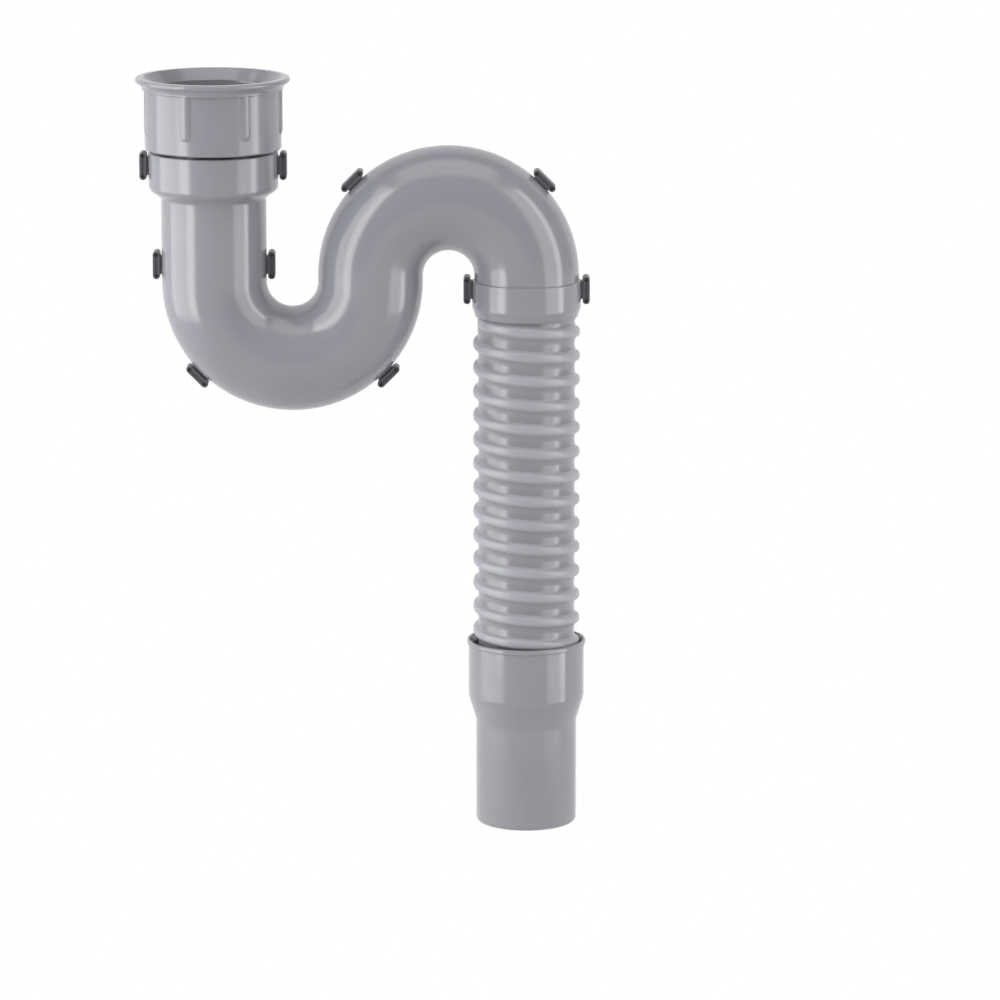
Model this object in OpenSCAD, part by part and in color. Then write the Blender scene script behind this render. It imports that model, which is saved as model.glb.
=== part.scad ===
// Flexible waste hose with an S trap and a captive coupling nut.
// The origin is the centre of the sealing face, where the waste outlet of the basin
// meets the washer. Z points up, the trap and the hose lie in the plane of X and Z,
// and the two halves of the trap meet on the plane of Y = 0.

/* [Coupling nut] */
// Height of the nut, from its foot to the top of its rim
nut_h = 28.4; // [26:0.2:34]
// Diameter at the root of the inside thread, for a G 1 1/2 outlet
thread_d = 47.8; // [47:0.1:49]
// Wall of the nut outside the root of its thread
nut_wall = 3; // [2.4:0.1:4]
// How far the flared rim stands out from the wall
nut_rim_out = 3.5; // [2.5:0.1:5]
// Thickness of the rolled lip of the rim
nut_lip_t = 2.2; // [1.6:0.1:2.8]
// Height of the raised band under the rim, measured from the top of the nut
nut_band_h = 5; // [4.2:0.1:7]
// How far the band and the grip ribs stand out from the wall
nut_rib_out = 0.9; // [0.5:0.1:1.4]
// Width of one grip rib where it meets the wall
nut_rib_w = 4.6; // [3:0.1:6]
// Height of the plain foot below the grip ribs
nut_foot_h = 5.8; // [4:0.1:8]
// Number of grip ribs
nut_ribs = 7; // [5:1:10]
// Direction of the first grip rib, in degrees from the X axis
nut_rib_turn = -110.6; // [-180:0.1:180]
// Depth of the plain undercut below the thread, where the washer lies
undercut_deep = 0.3; // [0.1:0.1:0.8]
// Thickness of the inward ledge that hooks under the trap's flange
nut_ledge_t = 3; // [2:0.1:4]

/* [Washer] */
// Diameter of the hole in the washer
washer_hole_d = 34; // [30:0.1:36]
// Thickness of the washer
washer_t = 3; // [2:0.1:4]

/* [Trap] */
// Outside diameter of the trap's pipe
pipe_d = 41.4; // [39:0.1:43]
// Wall thickness of the trap
pipe_wall = 2.3; // [1.8:0.1:3]
// Wall thickness of the neck inside the nut
neck_wall = 3; // [2:0.1:3.4]
// Thickness of that flange
flange_t = 3; // [2:0.1:4]
// How far the collar lies inside the wall of the nut above it
collar_inset = 1.4; // [0.6:0.1:2.6]
// Height of the straight part of the collar
collar_h = 14.6; // [12:0.1:20]
// Height of the sloping underside of the collar
collar_slope_h = 3.6; // [2.5:0.1:5]
// Straight pipe between the collar and the lower bend
inlet_leg_h = 33.5; // [28:0.5:50]
// Radius of both bends at the middle of the pipe
bend_r = 30.8; // [28:0.1:36]
// Straight pipe between the two bends
middle_leg_h = 2.4; // [1:0.1:12]
// Straight pipe between the upper bend and the hose socket
outlet_leg_h = 1.9; // [1:0.1:10]
// Least wall of the socket round the hose
socket_wall = 1.8; // [1.4:0.1:3]
// Least step from the pipe out to that socket
socket_step = 0.8; // [0.4:0.1:2]
// Height of the straight part of that socket
socket_h = 10.5; // [9:0.1:20]
// Height of the sloping lower end of that socket
socket_slope_h = 3.6; // [2:0.1:5]

/* [Seam clips] */
// Length of a clip along the seam
clip_l = 11; // [9:0.1:13]
// Thickness of a clip, outward from the pipe
clip_t = 2.8; // [2.4:0.1:3.4]
// Width of a clip across the seam
clip_w = 7; // [6.4:0.1:10]
// Gap between a clip and the pipe
clip_off = 0.6; // [0.3:0.1:1]
// Length of the ear under a clip
ear_l = 7.4; // [6:0.1:8]
// Thickness of the two half ears together
ear_w = 3; // [2.4:0.1:3.6]
// Depth of the ear inside its clip
ear_in = 1.4; // [1:0.1:1.6]
// Diameter of the pin holes at the two ends of a clip
clip_hole_d = 1.5; // [1.2:0.1:1.8]
// Height of the two leg clips above the centre of the lower bend
leg_clip_up = 6.8; // [6:0.1:20]
// Depth of the two socket clips below the top of the hose socket
socket_clip_down = 3.7; // [3:0.1:5]
// Angle of the clips on the bends, to each side of the middle of the bend
bend_clip_turn = 45; // [35:1:55]

/* [Hose] */
// Outside diameter of the hose between its ribs
hose_d = 38.8; // [38.2:0.1:39.2]
// Wall thickness of the hose between its ribs
hose_wall = 1.9; // [1.2:0.1:2.4]
// Length of hose that shows between the trap and the tail
hose_l = 130.9; // [100:1:200]
// Distance from one turn of the rib to the next
rib_pitch = 9.65; // [8:0.05:12]
// Width of the rib where it meets the hose
rib_w = 4.8; // [4:0.1:5.6]
// How far the rib stands out
rib_out = 1.75; // [1:0.05:2]
// Direction in which the rib starts, in degrees from the X axis
rib_start = 185; // [90:1:270]

/* [Tail adapter] */
// Wall thickness of the tail's socket
tail_wall = 1.55; // [1.2:0.05:3]
// How far the lip at the mouth of that socket stands out
tail_lip_out = 0.6; // [0.4:0.1:1.6]
// Height of that lip
tail_lip_h = 2; // [1.4:0.1:3]
// Height of the socket, with its lip
tail_socket_h = 23; // [20:0.5:35]
// Height of the cone under the socket
tail_cone_h = 9.9; // [6:0.1:16]
// Outside diameter of the spigot at the end
spigot_d = 40; // [38.5:0.1:42]
// Length of the spigot
spigot_h = 41.8; // [30:0.2:60]
// Wall thickness of the spigot
spigot_wall = 2; // [1.5:0.1:3]
// Radius of the rounded end of the spigot
spigot_round = 1.9; // [1:0.1:1.9]

/* [Fits] */
// Play of the nut round the neck and on the flange
nut_play = 0.35; // [0.2:0.05:0.5]
// Play of the washer and the flange inside the thread
flange_play = 0.7; // [0.5:0.1:1.2]
// Gap that shows between the nut and the collar
nut_gap = 1.1; // [0.8:0.1:2]
// Clearance round the hose in its two sockets
hose_fit = 0.3; // [0.2:0.05:0.4]
// Clearance round an ear in its clip
ear_fit = 0.1; // [0.05:0.05:0.2]

/* [Hidden] */
eps = 0.01;
fine = 96;

// Diameters round the inlet, each set by what it holds or goes into
nut_d = thread_d + 2 * nut_wall;
nut_rim_d = nut_d + 2 * nut_rim_out;
undercut_d = thread_d + 2 * undercut_deep;
flange_d = thread_d - 2 * flange_play;
washer_d = flange_d;
neck_bore_d = washer_hole_d;
neck_d = neck_bore_d + 2 * neck_wall;
collar_d = nut_d - 2 * collar_inset;

// Heights of the inlet, counted from the sealing face
flange_top = -washer_t;
flange_foot = flange_top - flange_t;
ledge_top = flange_foot - nut_play;
nut_foot = ledge_top - nut_ledge_t;
nut_top = nut_foot + nut_h;
thread_foot = 0;
collar_top = nut_foot - nut_gap;
collar_foot = collar_top - collar_h;
leg_top = collar_foot - collar_slope_h;

// Centres of the two bends, and the axis of the outlet
lower_z = leg_top - inlet_leg_h;
upper_z = lower_z + middle_leg_h;
lower_x = bend_r;
upper_x = 3 * bend_r;
outlet_x = 4 * bend_r;
socket_top = upper_z - outlet_leg_h;
socket_edge = socket_top - socket_h;
socket_foot = socket_edge - socket_slope_h;

// Bores of the trap
bore_d = pipe_d - 2 * pipe_wall;
bore_slope_h = 4;
hose_bore_d = hose_d + 2 * hose_fit;
socket_d = max(hose_bore_d + 2 * socket_wall, pipe_d + 2 * socket_step);
roof_drop = 1;
socket_roof = socket_top - roof_drop;

// Heights of the tail
tail_top = socket_foot - hose_l;
cone_top = tail_top - tail_socket_h;
cone_foot = cone_top - tail_cone_h;
tail_foot = cone_foot - spigot_h;
tail_bore_d = hose_d + 2 * rib_out + 2 * hose_fit;
tail_d = tail_bore_d + 2 * tail_wall;
tail_lip_d = tail_d + 2 * tail_lip_out;
spigot_bore_d = spigot_d - 2 * spigot_wall;
seat_rise = 1.5;
tail_seat = cone_top + seat_rise;
seat_d = hose_d - hose_wall;
tail_flare_h = 2.4;
tail_lip_round = 0.5;
tail_mouth_land = 0.4;
tail_mouth_d = tail_lip_d - 2 * tail_lip_round - 2 * tail_mouth_land;

// The hose runs from the roof of the upper socket to the seat in the tail
hose_top = socket_roof - hose_fit;
hose_foot = tail_seat + hose_fit;
rib_run_in = 0.7;
rib_top = socket_foot - rib_w / 2 + rib_run_in;
rib_foot = hose_foot + rib_w / 2 + rib_run_in;

// Mirrored places of the ears: x, z, direction in degrees
function spot(x, z, a) = [x, z, a];
function on_bend(x, z, a) = spot(x + (bend_r + pipe_d / 2) * cos(a), z + (bend_r + pipe_d / 2) * sin(a), a);
collar_clip_z = collar_top - clip_l / 2;
leg_clip_z = lower_z + leg_clip_up;
socket_clip_z = socket_top - socket_clip_down;
spots = [
  spot(-collar_d / 2, collar_clip_z, 180),
  spot(collar_d / 2, collar_clip_z, 0),
  spot(-pipe_d / 2, leg_clip_z, 180),
  spot(pipe_d / 2, leg_clip_z, 0),
  on_bend(lower_x, lower_z, 270 - bend_clip_turn),
  on_bend(lower_x, lower_z, 270 + bend_clip_turn),
  on_bend(upper_x, upper_z, 90 + bend_clip_turn),
  on_bend(upper_x, upper_z, 90 - bend_clip_turn),
  spot(outlet_x - socket_d / 2, socket_clip_z, 180),
  spot(outlet_x + socket_d / 2, socket_clip_z, 0)
];

// Flat section from radius 0 to r, between two heights, with its outer corners rounded
module rounded_disc_section(r, z_low, z_high, low_round, high_round) {
  translate([0, z_low + low_round])
    square([r, z_high - z_low - low_round - high_round]);
  translate([0, z_low])
    square([r - low_round, low_round + eps]);
  translate([0, z_high - high_round - eps])
    square([r - high_round, high_round + eps]);
  if (low_round > 0)
    translate([r - low_round, z_low + low_round])
      circle(low_round, $fn = fine);
  if (high_round > 0)
    translate([r - high_round, z_high - high_round])
      circle(high_round, $fn = fine);
}

// Points of a rounding of radius r at corner q of a profile, between points p and s
round_steps = 5;
function unit(v) = v / norm(v);
function rounding(p, q, s, r) =
  let (
    u = unit(p - q),
    v = unit(s - q),
    half = acos(u * v) / 2,
    centre = q + unit(u + v) * r / sin(half),
    first = q + u * r / tan(half) - centre,
    last = q + v * r / tan(half) - centre,
    start = atan2(first[1], first[0]),
    sweep = atan2(first[0] * last[1] - first[1] * last[0], first * last)
  )
  [
    for (i = [0 : round_steps])
      let (a = start + sweep * i / round_steps)
      centre + r * [cos(a), sin(a)]
  ];

// Upright cylinder between two heights
module drum(d, z_low, z_high) {
  translate([0, 0, z_low])
    cylinder(d = d, h = z_high - z_low, $fn = fine);
}

// Upright cone between two heights
module taper(d_low, d_high, z_low, z_high) {
  translate([0, 0, z_low])
    cylinder(d1 = d_low, d2 = d_high, h = z_high - z_low, $fn = fine);
}

// Half a ring of round bar in the plane of X and Z, with its open side down
module arch(d) {
  rotate([90, 0, 0])
    rotate_extrude(angle = 180, $fn = fine)
      translate([bend_r, 0])
        circle(d = d, $fn = fine);
}

// Coupling nut: flared rim, grip ribs, plain bore for the thread, and a ledge at its foot
module coupling_nut() {
  foot_round = 0.8;
  band_round = 0.5;
  mouth_land = 0.8;
  mouth_d = nut_rim_d - 2 * nut_lip_t - 2 * mouth_land;
  lip_r = nut_lip_t / 2;
  band_r = nut_d / 2 + nut_rib_out;
  band_foot = nut_top - nut_band_h;
  // The flare leaves the band in a hollow curve and ends under the rolled lip
  flare_round = 2.5;
  flare_from = [band_r, nut_top - 0.64 * nut_band_h];
  flare_to = [nut_rim_d / 2 - 0.35 * lip_r, nut_top - 1.75 * lip_r];
  mouth_foot = nut_top - 0.88 * nut_band_h;
  // A bead whose chord on the wall is the rib's width, and whose crest stays
  // just under the face of the band
  crest_drop = 0.08;
  bead_over = 1;
  crest_out = nut_rib_out - crest_drop;
  bead_r = (pow(nut_rib_w / 2, 2) + pow(crest_out, 2)) / (2 * crest_out);
  bead_at = nut_d / 2 + crest_out - bead_r;
  bead_foot = nut_foot + nut_foot_h + nut_rib_w / 2;
  color("#8d8e93")
    difference() {
      union() {
        rotate_extrude($fn = fine) {
          rounded_disc_section(nut_d / 2, nut_foot, band_foot + eps, foot_round, 0);
          rounded_disc_section(band_r, band_foot, nut_top - lip_r, band_round, 0);
          polygon(concat(
            [[0, band_foot + band_round]],
            rounding([band_r, band_foot], flare_from, flare_to, flare_round),
            [flare_to, [nut_rim_d / 2 - lip_r, nut_top], [0, nut_top]]
          ));
          translate([nut_rim_d / 2 - lip_r, nut_top - lip_r])
            circle(lip_r, $fn = fine);
        }
        for (i = [0 : nut_ribs - 1])
          rotate([0, 0, nut_rib_turn + 360 * i / nut_ribs])
            translate([bead_at, 0, 0]) {
              translate([0, 0, bead_foot])
                cylinder(r = bead_r, h = band_foot + bead_over - bead_foot, $fn = fine);
              translate([0, 0, bead_foot])
                sphere(bead_r, $fn = fine);
            }
      }
      drum(undercut_d, ledge_top, thread_foot);
      drum(thread_d, thread_foot - eps, nut_top + 1);
      taper(thread_d, mouth_d, mouth_foot, nut_top);
      drum(mouth_d, nut_top - eps, nut_top + 1);
      drum(neck_d + 2 * nut_play, nut_foot - 1, ledge_top + eps);
    }
}

// Flat washer on the trap's flange
module inlet_washer() {
  washer_round = 0.4;
  color("#1c1c1e")
    difference() {
      rotate_extrude($fn = fine)
        rounded_disc_section(washer_d / 2, -washer_t, 0, washer_round, washer_round);
      drum(washer_hole_d, -washer_t - 1, 1);
    }
}

// Outside of the whole trap, before it is hollowed and split
module trap_outside() {
  flange_round = 0.3;
  edge_round = 0.5;
  collar_round = 3;
  collar_fillet = 1.4;
  socket_round = 2;
  socket_tip = 0.7;
  pipe_r = pipe_d / 2;
  collar_r = collar_d / 2;
  socket_r = socket_d / 2;
  tip_r = hose_bore_d / 2 + socket_tip;
  // Neck and flange, which the nut hooks under
  rotate_extrude($fn = fine) {
    rounded_disc_section(flange_d / 2, flange_foot, flange_top, flange_round, flange_round);
    rounded_disc_section(neck_d / 2, collar_top - eps, flange_foot + eps, 0, 0);
  }
  // Collar with its sloping underside
  rotate_extrude($fn = fine) {
    rounded_disc_section(collar_r, collar_foot + collar_round, collar_top, 0, edge_round);
    polygon(concat(
      [[0, leg_top - collar_fillet]],
      rounding([pipe_r, lower_z], [pipe_r, leg_top], [collar_r, collar_foot], collar_fillet),
      rounding([pipe_r, leg_top], [collar_r, collar_foot], [collar_r, collar_top], collar_round),
      [[collar_r, collar_foot + collar_round + eps], [0, collar_foot + collar_round + eps]]
    ));
  }
  drum(pipe_d, lower_z, collar_foot);
  translate([lower_x, 0, lower_z])
    mirror([0, 0, 1])
      arch(pipe_d);
  translate([2 * bend_r, 0, 0])
    drum(pipe_d, lower_z, upper_z);
  translate([upper_x, 0, upper_z])
    arch(pipe_d);
  // Outlet leg and hose socket
  translate([outlet_x, 0, 0]) {
    drum(pipe_d, socket_edge, upper_z);
    rotate_extrude($fn = fine) {
      rounded_disc_section(socket_r, socket_edge + socket_round, socket_top, 0, edge_round);
      polygon(concat(
        [[0, socket_foot], [tip_r, socket_foot]],
        rounding([tip_r, socket_foot], [socket_r, socket_edge], [socket_r, socket_top], socket_round),
        [[socket_r, socket_edge + socket_round + eps], [0, socket_edge + socket_round + eps]]
      ));
    }
  }
}

// Water way of the trap, from the washer to the hose
module trap_bore() {
  drum(neck_bore_d, collar_foot, flange_top + 1);
  taper(bore_d, neck_bore_d, collar_foot - bore_slope_h, collar_foot);
  drum(bore_d, lower_z, collar_foot - bore_slope_h);
  translate([lower_x, 0, lower_z])
    mirror([0, 0, 1])
      arch(bore_d);
  translate([2 * bend_r, 0, 0])
    drum(bore_d, lower_z, upper_z);
  translate([upper_x, 0, upper_z])
    arch(bore_d);
  translate([outlet_x, 0, 0]) {
    drum(bore_d, socket_roof, upper_z);
    drum(hose_bore_d, socket_foot - 1, socket_roof);
  }
}

// Both halves of the ear at one spot, from inside the pipe's wall into the clip
module ear(at) {
  translate([at[0], 0, at[1]])
    rotate([0, -at[2], 0])
      translate([-pipe_wall / 2, -ear_w / 2, -ear_l / 2])
        cube([pipe_wall / 2 + clip_off + ear_in, ear_w, ear_l]);
}

// Everything on one side of the seam plane: -1 is the front, 1 is the back
module half_space(side) {
  translate([-2 * pipe_d, side > 0 ? 0 : -2 * pipe_d, tail_foot])
    cube([outlet_x + 4 * pipe_d, 2 * pipe_d, nut_top - tail_foot]);
}

// One moulded half of the trap
module shell(side) {
  intersection() {
    difference() {
      union() {
        trap_outside();
        for (at = spots)
          ear(at);
      }
      trap_bore();
    }
    half_space(side);
  }
}

module front_shell() {
  color("#86878c")
    shell(-1);
}

module back_shell() {
  color("#86878c")
    shell(1);
}

// One clip in its own axes: X outward, Z along the seam
module clip() {
  hole_at = clip_l / 2 - clip_t / 2;
  hole_deep = 1;
  groove_w = 0.8;
  groove_deep = 0.4;
  difference() {
    translate([clip_off, 0, 0])
      rotate([90, 0, 0])
        translate([0, 0, -clip_w / 2])
          linear_extrude(clip_w)
            union() {
              translate([0, -clip_l / 2 + clip_t / 2])
                square([clip_t, clip_l - clip_t]);
              for (s = [-1, 1])
                translate([clip_t / 2, s * hole_at])
                  circle(d = clip_t, $fn = 48);
            }
    // Seat of the ear
    translate([-eps, -ear_w / 2 - ear_fit, -ear_l / 2 - ear_fit])
      cube([clip_off + ear_in + ear_fit, ear_w + 2 * ear_fit, ear_l + 2 * ear_fit]);
    // Pin holes and the groove between them, on both faces
    for (y = [-1, 1], s = [-1, 1])
      translate([clip_off + clip_t / 2, y * clip_w / 2, s * hole_at])
        rotate([90, 0, 0])
          cylinder(d = clip_hole_d, h = 2 * hole_deep, center = true, $fn = 32);
    for (y = [-1, 1])
      translate([clip_off + clip_t / 2, y * clip_w / 2, 0])
        cube([groove_w, 2 * groove_deep, 2 * hole_at], center = true);
  }
}

// The ten clips that hold the halves together
module seam_clips() {
  color("#4a4b4f")
    for (at = spots)
      translate([at[0], 0, at[1]])
        rotate([0, -at[2], 0])
          clip();
}

// Hose: a plain tube with one left-handed rib wound round it, as one surface.
// Sections of the rib follow each other down the helix. Each one has rib_points
// points, and the last point of a section joins the first one a turn further on.
turn_steps = 32;
rib_points = 7;
half_points = (rib_points - 1) / 2;
rib_steps = floor((rib_top - rib_foot) / rib_pitch * turn_steps);
fade_steps = 3;

// Height of the rib, from 0 at its two run-outs to 1
function fade(t) = min(1, t / fade_steps, (rib_steps - t) / fade_steps);

// Place of a point across the rib, from -1 to 1, close together at the edges
function across(k) = sin(90 * (k / half_points - 1));
function bulge(u) = 1 - pow(abs(u), 3);
function ring_point(t, r, z) =
  let (a = rib_start + 360 * t / turn_steps)
  [outlet_x + r * cos(a), r * sin(a), z];
function rib_point(t, k) =
  ring_point(
    t,
    hose_d / 2 + rib_out * fade(t) * bulge(across(k)),
    rib_top - rib_pitch * t / turn_steps - across(k) * rib_w / 2
  );

// Numbers of the points: the rib first, then the four plain rings at the ends
function rib_at(t, k) = rib_points * t + k;
ring_first = rib_points * (rib_steps + 1);
function ring_at(ring, t) = ring_first + ring * turn_steps + t % turn_steps;
function quad(a, b, c, d) = [[a, b, c], [a, c, d]];
function fan(hub, rim) = [for (i = [0 : len(rim) - 2]) [hub, rim[i], rim[i + 1]]];

module hose() {
  bore_r = hose_d / 2 - hose_wall;
  last = rib_steps;
  last_turn = rib_steps - turn_steps;
  points = concat(
    [for (t = [0 : last], k = [0 : rib_points - 1]) rib_point(t, k)],
    [for (t = [0 : turn_steps - 1]) ring_point(t, hose_d / 2, hose_top)],
    [for (t = [0 : turn_steps - 1]) ring_point(t, hose_d / 2, hose_foot)],
    [for (t = [0 : turn_steps - 1]) ring_point(t, bore_r, hose_top)],
    [for (t = [0 : turn_steps - 1]) ring_point(t, bore_r, hose_foot)]
  );
  top = 0;
  foot = 1;
  bore_top = 2;
  bore_foot = 3;
  rib_faces = [
    for (t = [0 : last - 1], k = [0 : rib_points - 2])
      each quad(rib_at(t, k), rib_at(t + 1, k), rib_at(t + 1, k + 1), rib_at(t, k + 1))
  ];
  valley_faces = [
    for (t = [0 : last_turn - 1])
      each quad(
        rib_at(t, rib_points - 1),
        rib_at(t + 1, rib_points - 1),
        rib_at(t + 1 + turn_steps, 0),
        rib_at(t + turn_steps, 0)
      )
  ];
  // Plain cuffs above the first turn and below the last one
  upper_cuff = [
    for (t = [0 : turn_steps - 2])
      each quad(ring_at(top, t), ring_at(top, t + 1), rib_at(t + 1, 0), rib_at(t, 0))
  ];
  upper_join = fan(
    rib_at(turn_steps - 1, 0),
    concat(
      [ring_at(top, turn_steps - 1), ring_at(top, 0)],
      [for (k = [0 : rib_points - 1]) rib_at(0, k)],
      [rib_at(turn_steps, 0)]
    )
  );
  lower_cuff = [
    for (t = [last_turn + 1 : last - 1])
      each quad(
        rib_at(t, rib_points - 1),
        rib_at(t + 1, rib_points - 1),
        ring_at(foot, t + 1),
        ring_at(foot, t)
      )
  ];
  lower_join = fan(
    rib_at(last_turn + 1, rib_points - 1),
    concat(
      [ring_at(foot, last_turn + 1), ring_at(foot, last)],
      [for (k = [rib_points - 1 : -1 : 0]) rib_at(last, k)],
      [rib_at(last_turn, rib_points - 1)]
    )
  );
  end_faces = [
    for (t = [0 : turn_steps - 1])
      each concat(
        quad(ring_at(bore_top, t), ring_at(bore_top, t + 1), ring_at(top, t + 1), ring_at(top, t)),
        quad(ring_at(foot, t), ring_at(foot, t + 1), ring_at(bore_foot, t + 1), ring_at(bore_foot, t)),
        quad(ring_at(bore_foot, t), ring_at(bore_foot, t + 1), ring_at(bore_top, t + 1), ring_at(bore_top, t))
      )
  ];
  color("#9b9ca0")
    polyhedron(
      points = points,
      faces = concat(
        rib_faces,
        valley_faces,
        upper_cuff,
        upper_join,
        lower_cuff,
        lower_join,
        end_faces
      ),
      convexity = 20
    );
}

// Tail adapter: open socket with a lip, cone, and a spigot with a rounded end
module tail_adapter() {
  cone_round = 8;
  lip_r = tail_lip_d / 2;
  lip_foot = tail_top - tail_lip_h;
  outer_r = tail_d / 2;
  end_r = spigot_d / 2;
  color("#86878c")
    translate([outlet_x, 0, 0])
      difference() {
        rotate_extrude($fn = fine) {
          rounded_disc_section(lip_r, lip_foot, tail_top, tail_lip_round, tail_lip_round);
          rounded_disc_section(outer_r, cone_top + cone_round, lip_foot + tail_lip_h / 2, 0, 0);
          rounded_disc_section(end_r, tail_foot, cone_foot, spigot_round, 0);
          polygon(concat(
            [[0, cone_foot - cone_round]],
            rounding([end_r, tail_foot], [end_r, cone_foot], [outer_r, cone_top], cone_round),
            rounding([end_r, cone_foot], [outer_r, cone_top], [outer_r, tail_top], cone_round),
            [[outer_r, cone_top + cone_round + eps], [0, cone_top + cone_round + eps]]
          ));
        }
        taper(tail_bore_d, tail_mouth_d, tail_top - tail_flare_h, tail_top);
        drum(tail_mouth_d, tail_top - eps, tail_top + 1);
        drum(tail_bore_d, tail_seat, tail_top);
        taper(spigot_bore_d, seat_d, cone_foot, tail_seat + eps);
        drum(spigot_bore_d, tail_foot - 1, cone_foot + eps);
      }
}

coupling_nut();
inlet_washer();
front_shell();
back_shell();
seam_clips();
hose();
tail_adapter();
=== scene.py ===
# %% [markdown]
# # Flexible waste hose with an S trap
# This file dresses a drain fitting that hangs under a basin: a coupling nut, a
# grey S-shaped trap, a flexible hose with a spiral rib, and a push-fit tail. The
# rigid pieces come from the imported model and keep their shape. They get a finish
# here, and the pieces that solids can't show well are modelled and put in place.

import math

import bmesh
import bpy
from mathutils import Matrix, Vector


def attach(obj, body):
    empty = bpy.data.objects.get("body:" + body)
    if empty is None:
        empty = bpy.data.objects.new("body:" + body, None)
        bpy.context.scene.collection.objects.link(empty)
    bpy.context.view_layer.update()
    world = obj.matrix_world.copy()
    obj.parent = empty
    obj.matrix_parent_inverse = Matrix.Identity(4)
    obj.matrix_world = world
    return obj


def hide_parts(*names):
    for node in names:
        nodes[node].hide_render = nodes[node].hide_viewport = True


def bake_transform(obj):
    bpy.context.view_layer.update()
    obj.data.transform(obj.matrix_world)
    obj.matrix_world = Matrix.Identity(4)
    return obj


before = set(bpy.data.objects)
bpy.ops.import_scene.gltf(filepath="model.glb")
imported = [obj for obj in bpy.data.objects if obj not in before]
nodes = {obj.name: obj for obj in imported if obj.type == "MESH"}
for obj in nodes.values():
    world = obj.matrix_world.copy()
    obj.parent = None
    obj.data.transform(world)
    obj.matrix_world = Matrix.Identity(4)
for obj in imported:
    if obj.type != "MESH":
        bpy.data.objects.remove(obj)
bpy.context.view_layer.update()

# %% [markdown]
# ## Sizes
# The sizes below repeat those of the solids, in millimetres. Blender works in
# metres, so one constant turns one into the other. The origin is the middle of the
# sealing face inside the nut, Z points up, and the hose hangs at HOSE_X. Where a
# spiral is counted in turns, turn 0 is its upper start.

# %% Sizes in millimetres
MM = 0.001
HOSE_X = 123.2
HOSE_R = 19.4
HOSE_WALL = 1.9
HOSE_BORE_R = HOSE_R - HOSE_WALL
HOSE_TOP = -62.95
HOSE_FOOT = -227.85
SOCKET_FOOT = -75.75
RIB_PITCH = 9.65
RIB_W = 4.8
RIB_OUT = 1.75
RIB_START_DEG = 185
RIB_RUN_IN = 0.7
RIB_TOP = SOCKET_FOOT - RIB_W / 2 + RIB_RUN_IN
RIB_FOOT = HOSE_FOOT + RIB_W / 2 + RIB_RUN_IN
# The rib ends on a whole step of a turn
STEPS_TO_A_TURN = 32
RIB_TURNS = math.floor((RIB_TOP - RIB_FOOT) / RIB_PITCH * STEPS_TO_A_TURN) / STEPS_TO_A_TURN
print("hose hangs from", HOSE_TOP, "to", HOSE_FOOT, "mm, with", RIB_TURNS, "turns of rib")

# %% [markdown]
# ## Camera
# The product is seen from a little above through a long lens, so the upright legs
# stay nearly parallel. A camera could be aimed with a Track To constraint, but a
# turned camera is simpler to read: its -Z axis goes along the line of sight.

# %% Camera
LOOK_AT = Vector((112.7, 0, -150.35)) * MM
DISTANCE = 2307 * MM
ELEVATION = 11.5
LENS = 208.8
SENSOR = 36


def make_camera():
    data = bpy.data.cameras.new("studio_camera")
    data.lens = LENS
    data.sensor_width = SENSOR
    data.clip_start = 0.05
    data.clip_end = 20
    camera = bpy.data.objects.new("studio_camera", data)
    rise = math.radians(ELEVATION)
    # Unit vector from the object to the camera, which stands in front, at -Y
    back = Vector((0, -math.cos(rise), math.sin(rise)))
    camera.location = LOOK_AT + back * DISTANCE
    camera.rotation_mode = "QUATERNION"
    camera.rotation_quaternion = (-back).to_track_quat("-Z", "Y")
    bpy.context.scene.collection.objects.link(camera)
    bpy.context.scene.camera = camera
    return camera


camera = make_camera()
bpy.context.scene.view_settings.view_transform = "Standard"
print("camera at", [round(v, 3) for v in camera.location])

# %% [markdown]
# ## Helpers
# Colours are picked as sRGB hex values, the way a paint chart gives them, while
# shaders reckon in linear light. One function turns one into the other. Another
# adds a node with its settings and links, so each material reads as a recipe. The
# last one turns a finished bmesh into an object at the origin.

# %% Colour, node and object helpers
WHITE = (1, 1, 1, 1)


def linear(hex_colour):
    """Linear RGBA of an sRGB hex value such as #8a8b90."""
    out = []
    for i in (1, 3, 5):
        c = int(hex_colour[i:i + 2], 16) / 255
        out.append(c / 12.92 if c <= 0.04045 else ((c + 0.055) / 1.055) ** 2.4)
    return (*out, 1.0)


def add_node(tree, kind, links=(), settings=(), **sockets):
    """Adds a node. links joins its inputs to other nodes' outputs, settings sets its
    own properties, and sockets sets values by input name, with _ for a space."""
    node = tree.nodes.new(kind)
    for name, value in dict(settings).items():
        setattr(node, name, value)
    for name, value in sockets.items():
        node.inputs[name.replace("_", " ")].default_value = value
    for name, output in dict(links).items():
        tree.links.new(output, node.inputs[name])
    return node


def empty_material(name):
    """A material with an empty node tree, and that tree."""
    material = bpy.data.materials.new(name)
    material.use_nodes = True
    material.node_tree.nodes.clear()
    return material, material.node_tree


def noise(tree, place, size_mm, detail, roughness=0.5):
    """Noise whose blots are about size_mm wide on the object."""
    texture = add_node(
        tree, "ShaderNodeTexNoise", {"Vector": place.outputs["Object"]},
        Scale=1 / (size_mm * MM), Detail=detail, Roughness=roughness,
    )
    return texture.outputs["Fac"]


def object_from(bm, name):
    """Frees the bmesh and links its mesh to the scene as an object."""
    mesh = bpy.data.meshes.new(name)
    bm.to_mesh(mesh)
    bm.free()
    made = bpy.data.objects.new(name, mesh)
    bpy.context.scene.collection.objects.link(made)
    return made


print("grey as a shader reads it:", [round(v, 3) for v in linear("#8a8b90")])

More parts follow.
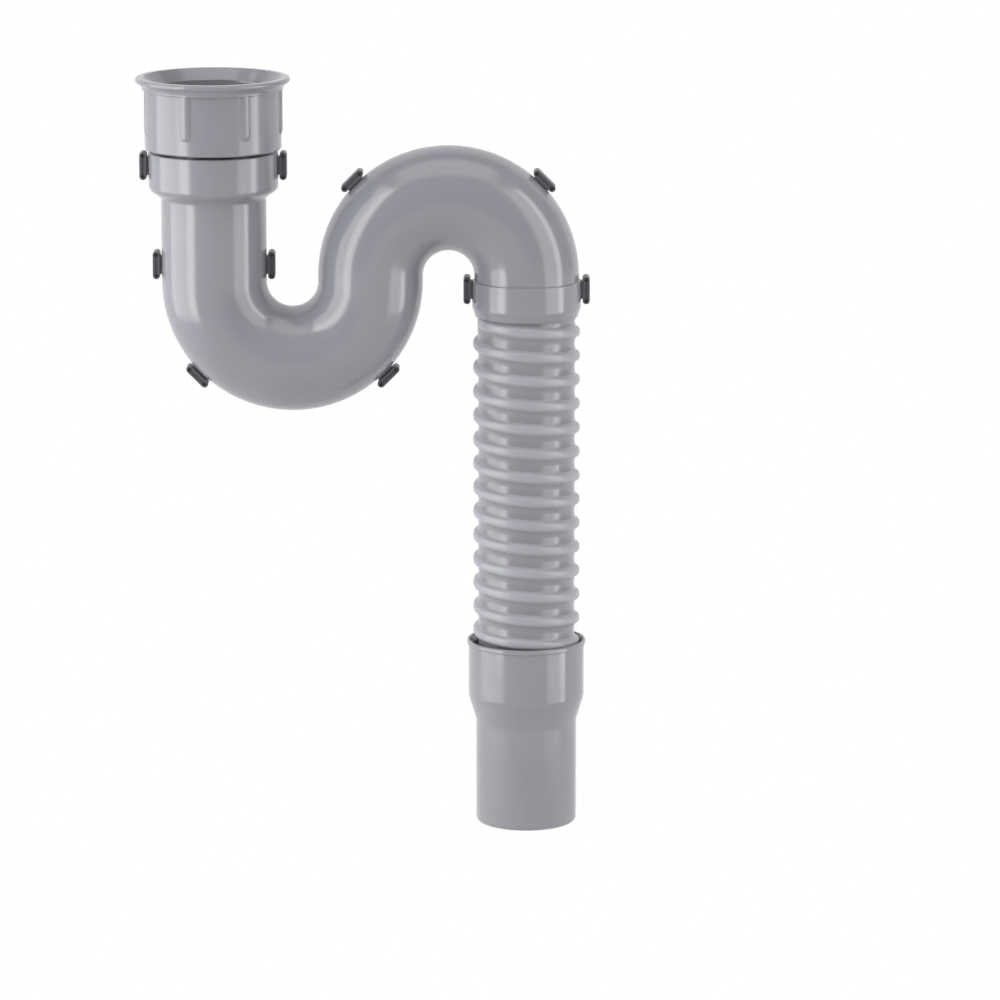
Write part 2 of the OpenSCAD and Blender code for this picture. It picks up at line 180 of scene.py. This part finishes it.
# %% [markdown]
# ## Studio
# The fitting stands before white. A white world could light it from all sides, but
# glossy plastic then looks flat, because nothing in its reflections has an edge. So
# the room is dim, softboxes stand at the sides, and a white card stands behind. The
# softboxes draw the bright strips down the pipes, and the card draws the pale line
# along each outline. White behind the object is only the colour of the room as the
# camera sees it.

# %% Room, floor and backdrop
ROOM = 0.30
FLOOR_Z = -450 * MM
FLOOR_SIZE = (8, 8)
BACKDROP_Y = 0.9
BACKDROP_Z = 0.2
BACKDROP_SIZE = (2.8, 2.0)
STAGE_X = 0.1


def make_room():
    world = bpy.data.worlds.new("studio_room")
    world.use_nodes = True
    tree = world.node_tree
    tree.nodes.clear()
    path = add_node(tree, "ShaderNodeLightPath")
    dim = add_node(tree, "ShaderNodeBackground", Color=WHITE, Strength=ROOM)
    white = add_node(tree, "ShaderNodeBackground", Color=WHITE, Strength=1.0)
    seen = add_node(
        tree, "ShaderNodeMixShader",
        {0: path.outputs["Is Camera Ray"], 1: dim.outputs[0], 2: white.outputs[0]},
    )
    add_node(tree, "ShaderNodeOutputWorld", {"Surface": seen.outputs[0]})
    bpy.context.scene.world = world


def white_card_material():
    """White to the camera and in reflections, plain matt white to the light."""
    material, tree = empty_material("white_card")
    path = add_node(tree, "ShaderNodeLightPath")
    matt = add_node(tree, "ShaderNodeBsdfDiffuse", Color=linear("#e6e6e6"))
    white = add_node(tree, "ShaderNodeEmission", Color=WHITE, Strength=1.0)
    camera_or_glossy = add_node(
        tree, "ShaderNodeMath",
        {0: path.outputs["Is Camera Ray"], 1: path.outputs["Is Glossy Ray"]},
        {"operation": "MAXIMUM"},
    )
    any_of_three = add_node(
        tree, "ShaderNodeMath",
        {0: camera_or_glossy.outputs[0], 1: path.outputs["Is Transmission Ray"]},
        {"operation": "MAXIMUM"},
    )
    seen = add_node(
        tree, "ShaderNodeMixShader",
        {0: any_of_three.outputs[0], 1: matt.outputs[0], 2: white.outputs[0]},
    )
    add_node(tree, "ShaderNodeOutputMaterial", {"Surface": seen.outputs[0]})
    return material


def make_card(name, size, place, material):
    """A flat rectangle, its place in its mesh."""
    bm = bmesh.new()
    bmesh.ops.create_grid(bm, x_segments=1, y_segments=1, size=0.5)
    bmesh.ops.scale(bm, vec=(*size, 1), verts=bm.verts)
    bmesh.ops.transform(bm, matrix=place, verts=bm.verts)
    card = object_from(bm, name)
    card.data.materials.append(material)
    return card


make_room()
card_white = white_card_material()
lying = Matrix.Translation((STAGE_X, 0, FLOOR_Z))
upright = Matrix.Rotation(math.radians(90), 4, "X")
make_card("floor", FLOOR_SIZE, lying, card_white)
behind = Matrix.Translation((STAGE_X, BACKDROP_Y, BACKDROP_Z)) @ upright
backdrop = make_card("backdrop", BACKDROP_SIZE, behind, card_white)
# The world is already white to the camera, also from behind this card
backdrop.visible_camera = False
print("floor at", FLOOR_Z, "m, card", BACKDROP_Y, "m behind")

# %% [markdown]
# ## Softboxes
# Each side softbox is an area light as tall as a door. A strip of light on a round
# pipe shows which way the pipe's surface mirrors the lamp, so the two ends of each
# box are given as directions round the object, in degrees from the camera: negative
# to the left, positive to the right. The box stands on the chord between them.

# %% Softboxes
STAND = 1.0
SIDE_HEIGHT = 2.2
TARGET = Vector((60, 0, -110)) * MM


def soft_light(name, middle, width, height, radiance):
    """An area light aimed at the object."""
    data = bpy.data.lights.new(name, "AREA")
    data.shape = "RECTANGLE"
    data.size = width
    data.size_y = height
    # An area light's radiance is its power over 4 times its area
    data.energy = radiance * 4 * width * height
    lamp = bpy.data.objects.new(name, data)
    lamp.location = middle
    lamp.rotation_mode = "QUATERNION"
    lamp.rotation_quaternion = (TARGET - middle).to_track_quat("-Z", "Y")
    bpy.context.scene.collection.objects.link(lamp)
    return lamp


def side_box(name, turn_near, turn_far, radiance):
    """A tall box between two directions round the object."""
    ends = []
    for turn in (turn_near, turn_far):
        a = math.radians(turn)
        ends.append(TARGET + Vector((math.sin(a), -math.cos(a), 0)) * STAND)
    middle = (ends[0] + ends[1]) / 2
    width = (ends[1] - ends[0]).length
    return soft_light(name, middle, width, SIDE_HEIGHT, radiance)


lamps = [
    side_box("left_softbox", -44, -104, radiance=2.2),
    side_box("left_strip", -42, -60, radiance=2.2),
    side_box("right_softbox", 44, 84, radiance=1.8),
    side_box("right_strip", 72, 84, radiance=2.2),
    soft_light("top_softbox", TARGET + Vector((0, -0.2, 1.1)), 1.2, 0.8, radiance=1.2),
]
for lamp in lamps:
    print(lamp.name, round(lamp.data.size, 2), "m wide,", round(lamp.data.energy, 1), "W")

# %% [markdown]
# ## Grey moulded plastic
# The trap, nut and tail are rigid PVC, injection moulded in steel tools. The steel
# was polished, so the plastic is glossy with only a faint waviness, which bends the
# edge of a reflection. Flow in the mould leaves the pigment a shade uneven over a
# few centimetres. PVC has an IOR of 1.53. The same recipe serves the other plastics
# with their own shade, gloss and waviness.

# %% Moulded plastic
PIGMENT_MM = 25
PIGMENT_SHARE = 0.035
HANDLING_MM = 12
GRAIN_MM = 0.5
GRAIN_HIGH = 0.05
SEAM_HALF_W = 0.25
SEAM_DEEP = 0.2
PLASTIC_IOR = 1.53


def pvc(name, colour, roughness, wave_mm=9.0, wave_high=0.12, seam=False):
    """Moulded plastic: an even grey, a wavy gloss, and a groove where halves meet."""
    material, tree = empty_material(name)
    place = add_node(tree, "ShaderNodeTexCoord")
    flow = noise(tree, place, PIGMENT_MM, detail=3.0)
    shade = add_node(tree, "ShaderNodeValToRGB", {"Fac": flow})
    stops = ((0.3, 1 - PIGMENT_SHARE), (0.7, 1 + PIGMENT_SHARE))
    for stop, (position, share) in zip(shade.color_ramp.elements, stops):
        stop.position = position
        stop.color = (*[c * share for c in linear(colour)[:3]], 1)
    # Gloss varies a little, as polish and handling leave it
    gloss = add_node(
        tree, "ShaderNodeMapRange",
        {"Value": noise(tree, place, HANDLING_MM, detail=4.0, roughness=0.6)},
        To_Min=roughness * 0.85, To_Max=roughness * 1.2,
    )
    skin = add_node(
        tree, "ShaderNodeBump",
        {"Height": noise(tree, place, wave_mm, detail=1.0, roughness=0.4)},
        Strength=0.5, Distance=wave_high * MM,
    )
    # As fine as the steel's last polish leaves it
    normal = add_node(
        tree, "ShaderNodeBump",
        {"Height": noise(tree, place, GRAIN_MM, detail=1.0), "Normal": skin.outputs["Normal"]},
        Strength=0.05, Distance=GRAIN_HIGH * MM,
    )
    if seam:
        parts = add_node(tree, "ShaderNodeSeparateXYZ", {0: place.outputs["Object"]})
        off = add_node(
            tree, "ShaderNodeMath", {0: parts.outputs["Y"]}, {"operation": "ABSOLUTE"}
        )
        groove = add_node(
            tree, "ShaderNodeMapRange", {"Value": off.outputs[0]},
            From_Min=0.0, From_Max=SEAM_HALF_W * MM, To_Min=0.0, To_Max=1.0,
        )
        normal = add_node(
            tree, "ShaderNodeBump",
            {"Height": groove.outputs[0], "Normal": normal.outputs["Normal"]},
            Strength=0.6, Distance=SEAM_DEEP * MM,
        )
    surface = add_node(
        tree, "ShaderNodeBsdfPrincipled",
        {
            "Base Color": shade.outputs["Color"],
            "Roughness": gloss.outputs[0],
            "Normal": normal.outputs["Normal"],
        },
        IOR=PLASTIC_IOR,
    )
    add_node(tree, "ShaderNodeOutputMaterial", {"Surface": surface.outputs[0]})
    return material


trap_pvc = pvc("grey_moulded_pvc", "#7f8086", 0.16, seam=True)
nut_pvc = pvc("grey_nut_pvc", "#7e7f85", 0.17)
tail_pvc = pvc("grey_tail_pvc", "#818187", 0.13)
print("moulded plastics:", trap_pvc.name, nut_pvc.name, tail_pvc.name)

# %% [markdown]
# ## Clips
# The clips over the seam are nylon. Their darker grey is painted shade: it puts the
# shade that the small clips catch into their colour. Nylon moulds with a satin surface,
# so its highlights are wide and weak, and its IOR is the same as PVC's.

# %% Clip plastic
# Painted shade: this dark grey stands for shade on the clips, not for their own colour
clip_nylon_painted_shade = pvc("satin_nylon_painted_shade", "#4d4e53", 0.38, wave_mm=3.0)
print("clip plastic:", clip_nylon_painted_shade.name)

# %% [markdown]
# ## Rubber
# The washer on the flange is black EPDM rubber, pressed in a hot mould. It is
# nearly black with a dull sheen, and its grain is a fine powder from the mould.

# %% Rubber
BLOOM_MM = 3
BLOOM_SHARE = 1.6
POWDER_MM = 0.3
POWDER_HIGH = 0.05


def rubber(name, colour):
    """Dull black rubber with a cloudy bloom and a powdery grain."""
    material, tree = empty_material(name)
    place = add_node(tree, "ShaderNodeTexCoord")
    bloom = noise(tree, place, BLOOM_MM, detail=5.0, roughness=0.65)
    shade = add_node(tree, "ShaderNodeValToRGB", {"Fac": bloom})
    dark = linear(colour)
    shade.color_ramp.elements[0].color = dark
    shade.color_ramp.elements[1].color = (*[c * BLOOM_SHARE for c in dark[:3]], 1)
    normal = add_node(
        tree, "ShaderNodeBump", {"Height": noise(tree, place, POWDER_MM, detail=2.0)},
        Strength=0.3, Distance=POWDER_HIGH * MM,
    )
    surface = add_node(
        tree, "ShaderNodeBsdfPrincipled",
        {"Base Color": shade.outputs["Color"], "Normal": normal.outputs["Normal"]},
        Roughness=0.55, IOR=1.5,
    )
    add_node(tree, "ShaderNodeOutputMaterial", {"Surface": surface.outputs[0]})
    return material


washer_rubber = rubber("black_epdm_rubber", "#1a1a1c")
print("rubber:", washer_rubber.name)

# %% [markdown]
# ## Finish the rigid pieces
# The solids keep their mesh, and only their material changes.

# %% Give the solids their finish
FINISHES = {
    "coupling_nut": nut_pvc,
    "inlet_washer": washer_rubber,
    "front_shell": trap_pvc,
    "back_shell": trap_pvc,
    "seam_clips": clip_nylon_painted_shade,
    "tail_adapter": tail_pvc,
}
for name, material in FINISHES.items():
    mesh = nodes[name].data
    mesh.materials.clear()
    mesh.materials.append(material)
    print(name, "in", material.name, "with", len(mesh.polygons), "triangles")

# %% [markdown]
# ## Hose
# The hose is soft PVC wound with a stiff spiral. The spiral is a round-cornered bar
# and the skin between two turns hangs in slightly, which is why each turn shows its
# own pair of highlights. A tube with a bar laid round it could do, but the join
# would show. So the outline of one turn, bar and skin together, is spun round the
# axis and carried down by one pitch per turn, like a thread.

# %% Outline of one turn
BAR_STEPS = 18
BAR_POWER = 3.052
FLANK_SHARE = 0.16
SKIN_STEPS = 8
SKIN_SAG = 0.35
SKIN_POWER = 1.3


def turn_outline():
    """Points down one pitch as (radius over the hose, height), bar first."""
    half = RIB_W / 2
    points = []
    for i in range(BAR_STEPS + 1):
        u = -1 + 2 * i / BAR_STEPS
        # Steep flanks, rounded shoulders and a crest that is nearly flat
        crown = 1 - abs(u) ** BAR_POWER
        flank = min(1.0, (1 - abs(u)) / FLANK_SHARE)
        points.append((RIB_OUT * crown * (3 * flank**2 - 2 * flank**3), -u * half))
    skin = RIB_PITCH - RIB_W
    for i in range(1, SKIN_STEPS + 1):
        s = i / SKIN_STEPS
        sag = SKIN_SAG * math.sin(math.pi * s) ** SKIN_POWER
        points.append((-sag, -half - skin * s))
    return points


one_turn = turn_outline()
print("one turn:", len(one_turn), "points,", RIB_PITCH, "mm pitch")

# %% [markdown]
# The spiral falls as it goes counter-clockwise seen from above, so it is a
# left-handed one. It starts just below the trap's socket and ends in the tail, and
# it runs out to nothing over a tenth of a turn at both ends. The spun strip is
# longer than the hose and is cut to length at both ends, which leaves clean rims to
# join to the bore.

# %% Spin the hose
HOSE_STEPS = 96
SPUN_TURNS = 22
SPARE_TURNS = 3
FADE_TURNS = 0.1
BORE_RINGS = 66
WELD = 0.01
ON_BAR = 0.02
SKIN_BAND = 0.05
RIM_SLOPE = 0.9


def helix_turn(x, y, z):
    """How many turns from the start of the spiral the nearest bar is, at a point."""
    angle = math.degrees(math.atan2(y, x)) - RIB_START_DEG
    turn = (angle % 360) / 360
    level = (RIB_TOP - z) / RIB_PITCH
    return turn + round(level - turn)


def run_out(turn):
    """0 before the spiral's start and past its end, 1 between."""
    return max(0.0, min(1.0, turn / FADE_TURNS, (RIB_TURNS - turn) / FADE_TURNS))


def spin_hose(bm):
    """Spins the outline down a left-handed helix and welds turn to turn."""
    a = math.radians(RIB_START_DEG)
    start = RIB_TOP + SPARE_TURNS * RIB_PITCH
    chain = []
    for out, down in one_turn:
        r = HOSE_R + out
        chain.append(bm.verts.new((r * math.cos(a), r * math.sin(a), start + down)))
    for one, two in zip(chain, chain[1:]):
        bm.edges.new((one, two))
    bmesh.ops.spin(
        bm, geom=bm.verts[:] + bm.edges[:], cent=(0, 0, 0), axis=(0, 0, 1),
        dvec=(0, 0, -RIB_PITCH / HOSE_STEPS), angle=math.tau * SPUN_TURNS,
        steps=HOSE_STEPS * SPUN_TURNS, use_merge=False,
    )
    bmesh.ops.remove_doubles(bm, verts=bm.verts, dist=WELD)


def sink_ends(bm):
    """Before its start and past its end the bar sinks into a plain tube."""
    for v in bm.verts:
        share = run_out(helix_turn(*v.co))
        r = math.hypot(v.co.x, v.co.y)
        new = HOSE_R + (r - HOSE_R) * share
        v.co.x *= new / r
        v.co.y *= new / r


def cut_to_length(bm):
    for level, up in ((HOSE_TOP, 1), (HOSE_FOOT, -1)):
        bmesh.ops.bisect_plane(
            bm, geom=bm.verts[:] + bm.edges[:] + bm.faces[:], dist=1e-5,
            plane_co=(0, 0, level), plane_no=(0, 0, up), clear_outer=True,
        )


def add_bore(bm):
    """A bore, joined to the outside at both ends."""
    bore = bmesh.ops.create_cone(
        bm, cap_ends=False, segments=HOSE_STEPS, radius1=HOSE_BORE_R,
        radius2=HOSE_BORE_R, depth=HOSE_TOP - HOSE_FOOT,
        matrix=Matrix.Translation((0, 0, (HOSE_TOP + HOSE_FOOT) / 2)),
    )
    # Rings along the bore let it bend with the outside
    along = {e for v in bore["verts"] for e in v.link_edges if not e.is_boundary}
    bmesh.ops.subdivide_edges(bm, edges=list(along), cuts=BORE_RINGS)
    for level in (HOSE_TOP, HOSE_FOOT):
        rims = [
            e for e in bm.edges
            if e.is_boundary and all(abs(v.co.z - level) < WELD for v in e.verts)
        ]
        bmesh.ops.bridge_loops(bm, edges=rims)
    print("open edges left on the hose:", sum(e.is_boundary for e in bm.edges))


def mark_bar(bm):
    """Slot 1 on the bar and 0 elsewhere, smooth but for the two end rims."""
    for f in bm.faces:
        c = f.calc_center_median()
        turn = helix_turn(*c)
        level = RIB_TOP - RIB_PITCH * turn
        on_bar = abs(c.z - level) < RIB_W / 2 and run_out(turn) > ON_BAR
        outside = math.hypot(c.x, c.y) > HOSE_R - SKIN_BAND
        f.material_index = 1 if on_bar and outside else 0
        f.smooth = abs(f.normal.z) < RIM_SLOPE


def make_hose():
    bm = bmesh.new()
    spin_hose(bm)
    sink_ends(bm)
    cut_to_length(bm)
    add_bore(bm)
    bmesh.ops.recalc_face_normals(bm, faces=bm.faces)
    mark_bar(bm)
    bmesh.ops.scale(bm, vec=(MM, MM, MM), verts=bm.verts)
    bmesh.ops.translate(bm, vec=(HOSE_X * MM, 0, 0), verts=bm.verts)
    return object_from(bm, "spiral_hose")


hose = make_hose()
print("hose:", len(hose.data.polygons), "faces")

# %% [markdown]
# ## Hose finish
# The skin is plasticised PVC, soft and glossy. The bar is stiff PVC, paler and
# duller. Both are the moulded recipe with a rougher waviness, since the hose is
# extruded and wound, with no steel to press its surface flat. The finished hose
# takes the place of the plain solid one.

# %% Hose materials and place
skin_pvc = pvc("soft_glossy_pvc", "#808186", 0.20, wave_mm=5.0, wave_high=0.2)
bar_pvc = pvc("stiff_satin_pvc", "#93949a", 0.34, wave_mm=6.0, wave_high=0.2)
hose.data.materials.append(skin_pvc)
hose.data.materials.append(bar_pvc)
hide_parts("hose")
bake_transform(hose)

# %% [markdown]
# ## Thread in the nut
# The nut screws onto a G 1 1/2 pipe thread: 11 turns to the inch, so a pitch of
# 2.309 mm, and 1.48 mm deep. Moulded threads have blunt crests, so they can be
# unscrewed from the tool. The ridge is spun like the hose, but it climbs the other
# way, because a nut has a right-handed thread. Its foot sinks a little into the nut.

# %% Thread
THREAD_R = 23.9
THREAD_PITCH = 2.309
THREAD_DEEP = 1.48
THREAD_FOOT = 1.6
THREAD_TURNS = 5.2
THREAD_STEPS = 72
THREAD_SINK = 0.15
THREAD_RUN_OUT = 0.25
THREAD_BASE = THREAD_PITCH * 0.42
THREAD_CREST = THREAD_PITCH * 0.14


def spin_ridge(bm):
    """Spins the ridge's outline up a right-handed helix."""
    root = THREAD_R + THREAD_SINK
    crest = THREAD_R - THREAD_DEEP
    ridge = [
        (root, -THREAD_BASE), (THREAD_R, -THREAD_BASE), (crest, -THREAD_CREST),
        (crest, THREAD_CREST), (THREAD_R, THREAD_BASE), (root, THREAD_BASE),
    ]
    ring = [bm.verts.new((r, 0, THREAD_FOOT + z)) for r, z in ridge]
    steps = int(THREAD_STEPS * THREAD_TURNS)
    bmesh.ops.spin(
        bm, geom=[bm.faces.new(ring)], cent=(0, 0, 0), axis=(0, 0, 1),
        dvec=(0, 0, THREAD_PITCH * THREAD_TURNS / steps),
        angle=math.tau * THREAD_TURNS, steps=steps, use_merge=False,
    )


def fade_ridge(bm):
    """The ridge runs out into the nut's wall at both ends."""
    for v in bm.verts:
        r = math.hypot(v.co.x, v.co.y)
        if r >= THREAD_R:
            continue
        turn = (math.atan2(v.co.y, v.co.x) % math.tau) / math.tau
        level = (v.co.z - THREAD_FOOT) / THREAD_PITCH
        here = turn + round(level - turn)
        share = min(1.0, here / THREAD_RUN_OUT, (THREAD_TURNS - here) / THREAD_RUN_OUT)
        new = THREAD_R - (THREAD_R - r) * max(0.0, share)
        v.co.x *= new / r
        v.co.y *= new / r


def make_thread():
    bm = bmesh.new()
    spin_ridge(bm)
    fade_ridge(bm)
    bmesh.ops.recalc_face_normals(bm, faces=bm.faces)
    bmesh.ops.scale(bm, vec=(MM, MM, MM), verts=bm.verts)
    return object_from(bm, "nut_thread")


thread = make_thread()
thread.data.materials.append(nut_pvc)
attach(thread, "nut")
print("thread:", len(thread.data.polygons), "faces,", THREAD_TURNS, "turns")
